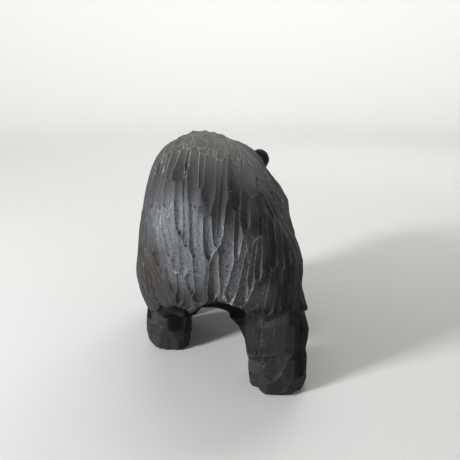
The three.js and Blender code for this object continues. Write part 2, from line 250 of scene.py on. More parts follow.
def lie(p, n):
    """The direction a knife cut takes at a point of the surface."""
    if p[2] < HEM_Z - 2:
        return tangent(np.array([0.0, 0.0, -1.0]), n)
    skull = on_skull(p[None])[0]
    head = float(smoothstep(skull[1], -14, -2))
    rump = float(smoothstep(p[1], 12, 42))
    top = float(smoothstep(p[2], 72, 90))
    shoulder = smoothstep(p[2], 55, 72) * (1 - smoothstep(p[2], 84, 90)) * smoothstep(-p[0], 0, 8)
    outwards = 0.8 * float(shoulder)
    flank = unit(np.array([-outwards, 0.35 + 1.6 * top, -1.0]))
    inwards = unit((TAIL - p) * np.array([1, 1, 0]))
    draw = 0.65 * float((1 - smoothstep(p[2], 36, 74)) * smoothstep(p[0], LOW[0], LOW[0] + 24))
    over_rump = unit(draw * inwards + np.array([0.0, 0.1 + 2.4 * top, -1.0]))
    over_head = unit(-AHEAD + 0.35 * np.sign(skull[0]) * ACROSS - np.array([0.0, 0.0, 0.4]))
    direction = flank * (1 - rump) + over_rump * rump
    direction = direction * (1 - head) + over_head * head
    return tangent(direction, n)


# ---------------------------------------------------------------- knife cuts

STEP = 1.5                                   # mm between the points of a cut's path
RUN_OFF = 3                                  # how many steps a cut goes on past an edge of the wood
RANKS = 4                                    # how many of the deepest cuts each vertex remembers
SPACING = 1.4                                # between neighbouring cuts' middles, in half widths
WIDEST = 1.35                                # how far a tilted cut may reach sideways, in half widths
CREST = 0.25                                 # mm shaved off the crests between the cuts in the coat
BAND = 1.7                                   # mm that the band under the tail lies behind the coat's edge
DEEPEST = 2.0                                # mm that a flat facet may go into the wood
DEEPEST_AT_SOLE = 0.8                        # less than a voxel, so that the sole's edge doesn't fold over
PROUDEST = 1.5                               # mm that wood may stand above a cut's path and still be cut
TUCK = 1.4                                   # mm that the legs are drawn in just under the coat's edge
BAND_LABEL, TUCK_LABEL = -2, -3


class Carving:
    """Cuts laid over a surface; remembers the deepest few at each vertex."""

    def __init__(self, points, triangles, region):
        self.points = points
        self.triangles = triangles
        self.normals = vertex_normals(points, triangles)
        self.tree = BVHTree.FromPolygons(points.tolist(), triangles.tolist())
        self.label = np.full((len(points), RANKS), -1)
        self.depth = np.zeros((len(points), RANKS))
        self.pull = self.normals.copy()      # out of the wood, for the deepest cut at each vertex
        self.depth[region == COAT, 0] = CREST
        self.depth[region == UNDER_TAIL, 0] = BAND
        self.label[region == UNDER_TAIL, 0] = BAND_LABEL
        below = hem_height(points) - points[:, 2]
        tucked = TUCK * (1 - smoothstep(below, 0, 9)) * smoothstep(points[:, 2], 14, 20)
        tucked = tucked * (0.4 + 0.6 * smoothstep(points[:, 1], -25, 5))
        self.depth[:, 0] = np.where(region == BARE, tucked, self.depth[:, 0])
        self.label[region == BARE, 0] = TUCK_LABEL
        self.taken = np.zeros(len(points), bool)
        self.count = 0

    def walk(self, start, sign, length, bend):
        """Points, normals and directions along the lie from a start, and whether it ran off an edge."""
        path = []
        place, normal, _, _ = self.tree.find_nearest(Vector(start))
        for _ in range(max(int(length / STEP), 1)):
            p, n = np.array(place), np.array(normal)
            if path and n @ path[-1][1] < 0.6:
                p, n, direction = path[-1]
                path += [(p + direction * sign * STEP * (i + 1), n, direction) for i in range(RUN_OFF)]
                return path, True
            direction = lie(p, n) * sign
            direction = tangent(direction + bend * np.cross(n, direction), n)
            path.append((p, n, direction * sign))
            place, normal, _, _ = self.tree.find_nearest(Vector(p + direction * STEP))
        return path, False

    def cut(self, start, length, before, **shape):
        """Lays one cut through a start point, which lies the given part of the length along it."""
        bend = random.normal(0, 0.04)
        back, _ = self.walk(start, -1, length * before, bend)
        forth, ran_off = self.walk(start, 1, length * (1 - before), bend)
        path = back[:0:-1] + forth
        if len(path) > 3:
            self.lay(path, ran_off, **shape)

    def cut_behind(self, top, end, **shape):
        """Lays one cut down the rear between two places given as x and z."""
        length = math.dist(top, end)
        count = max(int(length / STEP), 4)
        path = []
        for x, z in np.linspace(top, end, count + 1):
            place, normal, _, _ = self.tree.ray_cast(Vector((x, 2 * REAR, z)), Vector((0, -1, 0)))
            if place is not None:
                path.append([np.array(place), np.array(normal), None])
        spots = np.array([step[0] for step in path])
        for step, run in zip(path, np.gradient(spots, axis=0)):
            step[2] = tangent(run, step[1])
        self.lay(path, end[1] < 1, **shape)

    def lay(self, path, ran_off, half_width, depth, flatness=2.4, ramp=0.45, ledge=0.4, taper=0.35,
            claim=SPACING, planar=False, roll=None):
        """Takes the wood of one cut away along a path of places, normals and directions."""
        roll = random.normal(0, 0.13) if roll is None else roll
        abrupt = random.random() < ledge
        nose = 0.0 if planar else half_width * random.uniform(0.5, 1.8)
        lean = random.uniform(-0.5, 0.5)
        spots, outs, runs = (np.array(column) for column in zip(*path))
        length = np.linalg.norm(np.diff(spots, axis=0), axis=1).sum()
        outs = unit(smooth_rows(outs))
        runs = unit(smooth_rows(runs))
        reach = half_width * max(WIDEST, claim) + STEP
        inside = np.all((self.points > spots.min(0) - reach) & (self.points < spots.max(0) + reach), axis=1)
        chosen = np.nonzero(inside)[0]
        gap = self.points[chosen][:, None] - spots[None]
        nearest = np.argmin(np.einsum("ijk,ijk->ij", gap, gap), axis=1)
        gap = gap[np.arange(len(chosen)), nearest]
        run, out = runs[nearest], outs[nearest]
        t = np.sum(gap * run, 1) / length + nearest / (len(path) - 1)
        across = np.sum(gap * np.cross(out, run), 1)
        height = np.sum(gap * out, 1)
        facing = np.sum(self.normals[chosen] * out, 1)

        width = half_width * (taper + (1 - taper) * smoothstep(t, -0.05, 0.45))
        grow = smoothstep(t, -0.04, 0.08) * (ramp + (1 - ramp) * smoothstep(t, 0, 0.8))
        if abrupt and not ran_off:
            side = across / width
            reached = t * length + nose * (np.abs(side) + lean * side)
            grow = grow * (1 - smoothstep(reached, length - 0.5 * STEP, length + 0.5 * STEP))
        elif not ran_off:
            width = width * (1 - 0.75 * smoothstep(t, 0.6, 1.02))
            side = across / width
            grow = grow * (1 - 0.9 * smoothstep(t, 0.7, 1.02))
        side = across / width
        if planar:
            raised = smoothstep(self.points[chosen, 2], 2, 7)
            limit = DEEPEST_AT_SOLE + raised * (DEEPEST - DEEPEST_AT_SOLE)
            trough = np.minimum(depth + height + roll * across, limit)
        else:
            trough = depth * (1 - np.abs(side) ** flatness) + roll * across
            trough = trough * smoothstep(height, -3.0, -1.2)
        deep = trough * grow
        good = (facing > -0.3) & (np.abs(side) < WIDEST) & (t > -0.04) & (t < 1.1) & (deep > 0)
        good &= height < PROUDEST
        self.keep(chosen[good], deep[good], out[good])
        self.taken[chosen[(np.abs(side) < claim) & (t > 0.12) & (t < 0.86) & (facing > 0)]] = True
        self.count += 1

    def keep(self, chosen, deep, out):
        """Enters one cut's depths among the deepest few of each vertex it touches."""
        wins = deep > self.depth[chosen, 0]
        self.pull[chosen[wins]] = out[wins]
        depth = np.concatenate([self.depth[chosen], deep[:, None]], axis=1)
        label = np.concatenate([self.label[chosen], np.full((len(chosen), 1), self.count)], axis=1)
        order = np.argsort(-depth, axis=1, kind="stable")[:, :RANKS]
        self.depth[chosen] = np.take_along_axis(depth, order, 1)
        self.label[chosen] = np.take_along_axis(label, order, 1)

    def depth_of(self, vertices, labels):
        """How deep given cuts go at given vertices; 0 where they don't reach."""
        match = self.label[vertices] == labels[:, None]
        return np.where(match.any(1), (self.depth[vertices] * match).max(1), 0.0)


def smooth_rows(rows):
    """Rows averaged with their neighbours, ends kept."""
    padded = np.concatenate([rows[:1], rows, rows[-1:]])
    return (padded[:-2] + 2 * padded[1:-1] + padded[2:]) / 4


UNCUT, COAT, BARE, HEAD, BACK, UNDER_TAIL = range(6)    # the regions, each with its own kind of cut
BACK_Z, BACK_FRONT = 87.5, -30               # the top of the back lies above and behind these
HEAD_BEHIND, HEAD_Z = -10, 40                # the head lies ahead of and above these
EAR_REACH, EYE_REACH = 8, 4.4                # mm round each ear and eye that stay uncut


def region_of(points, normals):
    """Each vertex's region: uncut, coat, bare leg or belly, head, top of the back, or band under the tail."""
    x, y, z = points.T
    face = on_skull(points)
    region = np.where(z > hem_height(points) + 0.4, COAT, BARE)
    region[(z > BACK_Z) & (y > BACK_FRONT)] = BACK
    region[(face[:, 1] > HEAD_BEHIND) & (z > HEAD_Z)] = HEAD
    small = (face[:, 1] > NOSE_AHEAD) | ((face[:, 1] > 8) & (np.abs(face[:, 2] - mouth_height(face)) < 1.6))
    for side in (1, -1):
        for centre, reach in ((EAR, EAR_REACH), (EYE, EYE_REACH)):
            small |= np.linalg.norm(face - centre * [side, 1, 1], axis=1) < reach
    region[small & (region == HEAD)] = UNCUT
    under_tail = (y > REAR - 34) & (z > 22) & (np.abs(x - ARCH_X) < 17)
    region[under_tail & (region == BARE)] = UNCUT
    band = (y > REAR - 26) & (z > 31) & (np.abs(x - 1) < 11) & (normals[:, 1] > 0)
    region[band & (region == UNCUT)] = UNDER_TAIL
    region[(z < 1.0) & (normals[:, 2] < -0.5)] = UNCUT
    return region


CUTS = {
    COAT: dict(length=(20, 36), half_width=(2.0, 2.8), depth=(0.75, 1.00)),
    BARE: dict(length=(12, 20), half_width=(3.6, 5.0), depth=(0.35, 0.55), flatness=5.0, ramp=0.8, ledge=0.0),
    HEAD: dict(length=(8, 15), half_width=(1.6, 2.2), depth=(0.40, 0.60), ramp=0.6, ledge=0.2),
    BACK: dict(length=(9, 16), half_width=(2.6, 3.4), depth=(0.70, 0.95), ramp=0.6, ledge=0.6),
}
ARCH_X = LOW[0] + 36.3                       # middle of the passage between the legs
ANKLE_Z = 15.5
CREASE_Z = 6.3
LEG_SIDES = 8
LEG_REACH = 14                               # mm out from the middle of a sole, where each cut is aimed from
LEG_FACET = 4.8                              # half width of the facets round a leg

# Flat facets on the rear of the hind legs, read off the photo: x and z of the upper end, x and z of
# the lower end, width, and how steeply the facet tilts about its own length.
SHANKS = np.array([
    [-9.0, 33.5, -10.5, 22.0, 5.0, 0.0], [-12.8, 29.5, -12.9, 15.8, 6.4, -0.25],
    [-17.5, 30.5, -19.0, 16.0, 5.4, 0.0], [-21.5, 33.5, -21.5, 16.0, 5.4, 0.0],
    [-25.5, 33.5, -23.5, 17.0, 4.6, 0.2], [-28.0, 30.0, -27.2, 14.0, 5.0, 0.2],
    [-12.8, 15.5, -13.2, 5.5, 6.2, -0.2], [-25.0, 15.5, -25.0, CREASE_Z, 4.6, 0.25],
    [-28.3, 14.0, -28.3, CREASE_Z, 4.6, 0.2],
    [-13.6, 6.0, -14.0, 0.3, 5.6, -0.2], [-20.2, 6.0, -20.3, 0.3, 6.0, 0.0],
    [-26.2, 6.0, -26.0, 0.3, 5.0, 0.2], [29.0, 24.0, 29.3, 12.0, 4.4, -0.2],
    [26.3, 27.0, 26.5, 11.0, 4.0, 0.0], [20.5, 33.0, 19.8, 5.5, 8.0, 0.35],
    [28.5, 11.5, 28.3, 5.5, 5.0, 0.0], [25.0, 5.0, 25.0, 0.3, 7.0, 0.0],
    [17.5, 5.5, 17.5, 0.3, 6.0, 0.35],
])
SCOOP = ((-19.2, 16.5), (-19.6, CREASE_Z), 6.6, 1.5)    # upper end, lower end, width, depth


def carve_legs(carving):
    """Flat facets down each leg, stopping on the ankle and above the sole."""
    flat = dict(planar=True, ramp=1.0, taper=1.0)
    for *top, x, z, width, turn in SHANKS:
        carving.cut_behind(top, (x, z), half_width=0.75 * width, depth=random.uniform(0.6, 0.9), ledge=1.0,
                           claim=1.5, roll=turn, **flat)
    top, end, width, depth = SCOOP
    carving.cut_behind(top, end, half_width=0.6 * width, depth=depth, flatness=3.0, ramp=1.0, ledge=0.0,
                       taper=0.9, roll=0.0)
    for mount in frame["record"]["mounts"]:
        sole = np.array(mount["pos_m"]) / MM
        for k in range(LEG_SIDES):
            angle = 2 * math.pi * (k + random.uniform(-0.25, 0.25)) / LEG_SIDES
            out = np.array([math.cos(angle), math.sin(angle), 0.0]) * LEG_REACH
            if sole[1] > 0 and out[1] > 5:
                continue
            ankle = ANKLE_Z + random.uniform(-2.5, 2.5)
            carving.cut(sole + out + [0, 0, ankle + 8], 17, 0.5, half_width=LEG_FACET,
                        depth=random.uniform(0.6, 1.2), ledge=1.0, **flat)
            carving.cut(sole + out + [0, 0, ankle / 2], 22, 0.5, half_width=LEG_FACET,
                        depth=random.uniform(0.3, 0.7), ledge=0.0, **flat)


MOST_CUTS = 2000                             # a stop for the loop below, which ends after about 950


def carve_rest(carving, region):
    """Lays cuts side by side, each beside the last one, until the surface is covered."""
    here = np.array([8.0, REAR, 60.0])
    left = (region != UNCUT) & (region != UNDER_TAIL)
    for _ in range(MOST_CUTS):
        free = np.nonzero(left & ~carving.taken)[0]
        if not len(free):
            break
        vertex = free[np.argmin(np.linalg.norm(carving.points[free] - here, axis=1))]
        here = carving.points[vertex]
        left[vertex] = False
        kind = dict(CUTS[region[vertex]])
        ranges = {name: random.uniform(*kind.pop(name)) for name in ("length", "half_width", "depth")}
        carving.cut(here, before=random.uniform(0.3, 0.7), **ranges, **kind)


# Facets of the rump, read off the photo, in mm: x and z of the upper end, x and z of the lower end,
# and the width.
RUMP = np.array([
    # under the rim, from the bear's left to its right
    [18.6, 88.0, 22.6, 70.0, 3.0], [20.2, 87.0, 24.8, 66.0, 2.6], [21.5, 86.0, 26.8, 64.0, 2.4],
    [15.6, 90.0, 18.6, 78.0, 3.6], [12.6, 90.5, 14.4, 79.5, 3.6], [11.4, 89.5, 11.3, 82.0, 1.8],
    [8.4, 90.0, 8.2, 72.0, 3.4], [6.0, 89.5, 5.7, 76.0, 2.2], [3.0, 89.5, 2.8, 70.5, 4.0],
    [-0.2, 88.5, 0.6, 60.5, 3.0], [-2.6, 87.0, -0.7, 63.0, 2.4], [-4.2, 87.5, -4.4, 74.0, 1.8],
    [-6.2, 86.5, -6.3, 70.5, 3.2], [-9.0, 85.0, -9.2, 76.5, 2.6], [-11.6, 83.5, -11.9, 73.6, 5.0],
    [-14.3, 78.0, -15.2, 72.0, 2.0],
    # the bright locks in the middle, and the ones that show below them
    [20.2, 84.0, 20.4, 70.0, 3.0], [17.6, 82.0, 17.8, 71.0, 3.2],
    [19.2, 72.0, 16.0, 56.0, 3.2], [16.2, 75.5, 13.5, 52.0, 3.0], [13.6, 80.5, 12.5, 63.5, 2.8],
    [11.7, 81.5, 10.7, 59.8, 2.2], [12.6, 63.5, 11.2, 49.0, 3.4], [10.2, 60.0, 9.1, 43.6, 2.8],
    [8.6, 77.0, 7.8, 57.0, 2.4], [6.0, 71.0, 5.9, 40.0, 3.2], [3.6, 70.5, 2.7, 56.0, 2.8],
    [0.6, 59.5, 1.9, 41.3, 3.2], [-4.4, 74.5, -1.4, 42.0, 4.2], [-6.8, 76.0, -6.0, 56.0, 2.2],
    [-9.3, 77.0, -9.2, 62.3, 3.0], [-12.6, 74.2, -12.4, 62.0, 3.2], [-14.7, 73.0, -14.7, 61.5, 1.6],
    # the long locks over the tail
    [-9.4, 62.0, -3.4, 40.3, 4.2], [-10.9, 61.5, -6.6, 38.4, 3.8], [-12.6, 61.5, -10.4, 43.0, 2.4],
    [-14.3, 62.5, -13.0, 48.0, 2.0], [-15.2, 74.0, -16.8, 50.0, 2.7], [-17.6, 71.0, -19.3, 51.3, 2.8],
    [-20.4, 67.0, -22.2, 48.0, 3.0], [-22.6, 64.0, -24.9, 45.0, 2.2],
    # the lower right
    [-14.8, 47.8, -10.3, 36.0, 4.4], [-17.4, 49.5, -14.4, 34.5, 2.6], [-19.4, 51.0, -17.1, 33.0, 2.8],
    [-21.3, 49.0, -20.4, 32.0, 2.2], [-23.4, 51.0, -23.2, 31.0, 2.8], [-25.9, 52.0, -25.8, 29.0, 2.4],
    # the lower left
    [13.4, 51.5, 13.2, 39.0, 2.4], [12.0, 50.0, 9.8, 38.0, 3.4], [17.4, 59.0, 14.2, 40.5, 2.8],
    [18.9, 62.5, 16.2, 46.5, 2.4], [21.1, 70.0, 19.0, 48.0, 2.4], [22.9, 70.0, 21.2, 51.0, 2.4],
    [24.8, 70.0, 23.0, 55.0, 2.4], [24.3, 55.0, 15.8, 37.5, 3.2], [25.5, 54.0, 19.2, 37.0, 3.0],
    [26.8, 56.0, 22.6, 35.0, 3.0], [27.8, 57.0, 25.4, 34.0, 2.6],
])


def carve_rump(carving):
    """The facets over the rump, each a shallow trough that stops on a small step."""
    for *top, x, z, width in RUMP:
        carving.cut_behind(top, (x, z), half_width=0.78 * width, depth=random.uniform(1.10, 1.60),
                           flatness=2.2, ramp=0.55, ledge=0.7, taper=0.7, claim=2.1)


# ---------------------------------------------------------------- splitting along the ridges

RIDGE_DEPTH = 0.07                           # mm between the two deepest cuts that still counts as a ridge


def split(carving):
    """New vertices, triangles and their winning cut, with an edge along every ridge."""
    points, triangles = carving.points, carving.triangles
    label, depth = carving.label[:, 0], carving.depth[:, 0]
    runner = np.maximum(carving.depth[:, 1], 0)
    ridge = np.exp(-(depth - runner) / RIDGE_DEPTH) * (depth > CREST)
    edges = edges_of(triangles)
    crossed = edges[label[edges[:, 0]] != label[edges[:, 1]]]
    a, b = crossed.T
    gain_a = depth[a] - carving.depth_of(a, label[b])
    gain_b = depth[b] - carving.depth_of(b, label[a])
    part = np.clip(gain_a / np.maximum(gain_a + gain_b, 1e-9), 0.04, 0.96)
    ridge_depth = depth[a] + part * (carving.depth_of(b, label[a]) - depth[a])
    ridge_depth = np.maximum(ridge_depth, 0)
    new_points = points[a] + part[:, None] * (points[b] - points[a])
    new_pull = unit(carving.pull[a] + part[:, None] * (carving.pull[b] - carving.pull[a]))
    first = len(points)
    cut_at = {(int(i), int(j)): first + k for k, (i, j) in enumerate(crossed)}

    faces, winners = [], []
    mixed = (label[triangles] != label[triangles][:, :1]).any(1)
    faces.extend(triangles[~mixed].tolist())
    winners.extend(label[triangles[~mixed, 0]].tolist())
    extra_points = []
    next_index = first + len(crossed)
    for i, j, k in triangles[mixed].tolist():
        middle = {}
        for u, v in ((i, j), (j, k), (k, i)):
            if label[u] != label[v]:
                middle[u, v] = middle[v, u] = cut_at[(u, v) if u < v else (v, u)]
        if len(middle) == 4:                 # two labels: one corner stands alone
            while (j, k) in middle:
                i, j, k = j, k, i
            # now i-j and k-i are crossed, and j and k share a label
            m, n = middle[i, j], middle[k, i]
            faces += [(i, m, n), (m, j, k), (m, k, n)]
            winners += [label[i], label[j], label[j]]
        else:                                # three labels meet at a point inside the triangle
            m, n, o = middle[i, j], middle[j, k], middle[k, i]
            faces += [(i, m, next_index), (i, next_index, o), (j, n, next_index), (j, next_index, m),
                      (k, o, next_index), (k, next_index, n)]
            winners += [label[i], label[i], label[j], label[j], label[k], label[k]]
            extra_points.append((m, n, o))
            next_index += 1
    all_points = np.concatenate([points, new_points])
    all_pull = np.concatenate([carving.pull, new_pull])
    all_depth = np.concatenate([depth, ridge_depth])
    all_ridge = np.concatenate([ridge, np.ones(len(crossed))])
    if extra_points:
        trio = np.array(extra_points)
        all_points = np.concatenate([all_points, all_points[trio].mean(1)])
        all_pull = np.concatenate([all_pull, unit(all_pull[trio].mean(1))])
        all_depth = np.concatenate([all_depth, all_depth[trio].min(1)])
        all_ridge = np.concatenate([all_ridge, np.ones(len(trio))])
    carved = all_points - all_pull * all_depth[:, None]
    return carved, np.array(faces), np.array(winners), all_ridge


def painted_shade(points, normals):
    """1 where shade is painted in nearly black: in the passage and inside the legs, on the band under the
    tail, on the legs' sides turned away from the window light and on a patch of the left hind leg, and partly
    on the right of the rump, the side away from that light.
    """
    below = 1 - smoothstep(points[:, 2] - hem_height(points), -1.5, 0.3)
    inside = 1 - smoothstep(np.abs(points[:, 0] - ARCH_X), 10.5, 13)
    under_tail = smoothstep(points[:, 2], 29, 33) * (1 - smoothstep(np.abs(points[:, 0] - ARCH_X), 15, 17))
    # painted shade on the legs' sides turned away from the window light
    away = smoothstep(-normals[:, 0], 0.15, 0.6) * smoothstep(points[:, 2], 4, 8)
    away = 0.85 * away * smoothstep(points[:, 1], -8, 4)
    left_leg = smoothstep(points[:, 0], 15, 16.5) * (1 - smoothstep(points[:, 0], 22.5, 24.5))
    left_leg = left_leg * smoothstep(points[:, 2], 8, 10) * smoothstep(points[:, 1], 15, 25)
    legs = below * np.maximum(np.maximum(inside, under_tail), np.maximum(away, left_leg))
    # painted shade, half as strong, on the right of the rump below its top, the side away from the window
    # light
    right = 0.5 * smoothstep(-points[:, 0], 8, 22) * (1 - smoothstep(points[:, 2], 76, 86))
    return np.maximum(legs, right * smoothstep(points[:, 1], 5, 25))


# Places on the rear given as x and z, and how far each one reaches.
BROWNED = (((-11.5, 78.0), 8.0), ((-7.0, 83.0), 6.0), ((26.0, 47.0), 12.0), ((20.0, 38.0), 9.0))
# Patches on the rump where a speckled grey is painted into the colour as painted sheen, for the window
# light's reflection; the wood is also made a little glossier there.
SHEEN_PATCHES = (((14.0, 66.0), 14.0), ((11.0, 54.0), 11.0), ((4.0, 60.0), 14.0), ((-4.0, 54.0), 14.0),
            ((-7.0, 44.0), 9.0), ((-11.0, 58.0), 8.0), ((-15.0, 41.0), 7.0))


def around(places, points):
    """1 near any of some places on the rear, falling to 0 at each one's reach."""
    total = np.zeros(len(points))
    for place, reach in places:
        distance = np.linalg.norm(points[:, [0, 2]] - np.array(place), axis=1)
        total = np.maximum(total, 1 - smoothstep(distance, 0.4 * reach, reach))
    return total * smoothstep(points[:, 1], 10, 30)


def scuffing_and_highlight(points):
    """How pale the ridges are made, partly from scuffing and partly as painted highlight: most in the painted
    sheen patches on the rump, on the rim and the top and on the upper right flank, least on the head and
    below.
    """
    rear = smoothstep(points[:, 1], 0, 20)
    crown = 0.85 * smoothstep(points[:, 2], 74, 84) * smoothstep(points[:, 1], -25, 0)
    shoulder = 0.9 * smoothstep(points[:, 2], 52, 62) * smoothstep(-points[:, 0], 12, 18) * rear
    in_sheen = 0.9 * around(SHEEN_PATCHES, points)
    return np.maximum(np.maximum(in_sheen, crown), np.maximum(shoulder, 0.3 + 0.17 * rear))


def glossy(points):
    """1 on the eyes and the nose pad."""
    face = on_skull(points)
    total = (face[:, 1] > NOSE_AHEAD - 1.5) * (1 - smoothstep(on_nose_pad(face), 0.95, 1.1))
    for side in (1, -1):
        distance = np.linalg.norm(face - EYE * [side, 1, 1], axis=1)
        total = np.maximum(total, 1 - smoothstep(distance, EYE_RADIUS, 3.0))
    return total


GROWN = 0.45                                 # mm added before carving, because the cuts only take wood away
SHARP = math.radians(24)                     # edges steeper than this are shaded as sharp


def build_bear():
    points, triangles = plain_bear()
    normals = vertex_normals(points, triangles)
    region = region_of(points, normals)
    points = points + GROWN * normals * (region != UNCUT)[:, None]
    carving = Carving(points, triangles, region)
    carve_rump(carving)
    carve_legs(carving)
    carve_rest(carving, region)
    carved, faces, winners, ridge = split(carving)
    carved[:, 2] = np.maximum(carved[:, 2], 0)
    print("cuts", carving.count, "triangles", len(faces))
    mesh = bpy.data.meshes.new("carved_bear")
    mesh.from_pydata((carved * MM).tolist(), [], faces.tolist())
    mesh.update()
    mesh.polygons.foreach_set("use_smooth", np.ones(len(mesh.polygons), bool))
    mesh.set_sharp_from_angle(angle=SHARP)
    crest = mesh.attributes.new("crest", "FLOAT", "POINT")
    crest.data.foreach_set("value", ridge)
    # paler ridges, partly scuffing and partly painted highlight where the light catches them
    scuffed_and_lit = mesh.attributes.new("scuffed_and_lit", "FLOAT", "POINT")
    scuffed_and_lit.data.foreach_set("value", scuffing_and_highlight(carved))
    # painted shade: where the colour goes nearly black for shade under the coat and on sides turned from the
    # light
    shade_mask = mesh.attributes.new("shade_mask", "FLOAT", "POINT")
    shade_mask.data.foreach_set("value", painted_shade(carved, vertex_normals(carved, faces)))
    brown = mesh.attributes.new("brown", "FLOAT", "POINT")
    brown.data.foreach_set("value", around(BROWNED, carved))
    wet = mesh.attributes.new("wet", "FLOAT", "POINT")
    wet.data.foreach_set("value", glossy(carved))
    tone = mesh.attributes.new("tone", "FLOAT", "FACE")
    tones = random.uniform(0, 1, carving.count + 1)
    tone.data.foreach_set("value", tones[winners])
    # the painted sheen patches on the rump, which are also made a little glossier
    sheen_patch = mesh.attributes.new("sheen_patch", "FLOAT", "POINT")
    sheen_patch.data.foreach_set("value", around(SHEEN_PATCHES, carved))
    bear = bpy.data.objects.new("carved_bear", mesh)
    bpy.context.collection.objects.link(bear)
    return bear


# ---------------------------------------------------------------- material

def node(tree, kind, **settings):
    made = tree.nodes.new(kind)
    for name, value in settings.items():
        setattr(made, name, value)
    return made


STAIN_DARK, STAIN_PALE = (0.010, 0.0104, 0.0108, 1), (0.028, 0.0286, 0.0305, 1)
# the first is the stain's own brown; the second a paler olive painted on the top of the back as the bright
# wall's reflection
BROWN, OLIVE = (0.015, 0.0105, 0.009, 1), (0.042, 0.038, 0.027, 1)
# the grey of the painted sheen, and the pale grain flecks, which are partly painted sparkle
SHEEN_GREY, FLECK = (0.085, 0.088, 0.094, 1), (0.085, 0.087, 0.090, 1)
# pale wood of the ridges, partly scuffing and partly painted highlight; near-black of the painted shade in
# small pits
BARE_WOOD, PIT = (0.36, 0.355, 0.34, 1), (0.003, 0.003, 0.003, 1)
# the first is the near-black of painted shade; the second the eyes' and nose pad's own dark gloss
SHADE_BLACK, WET = (0.004, 0.0034, 0.003, 1), (0.004, 0.004, 0.004, 1)


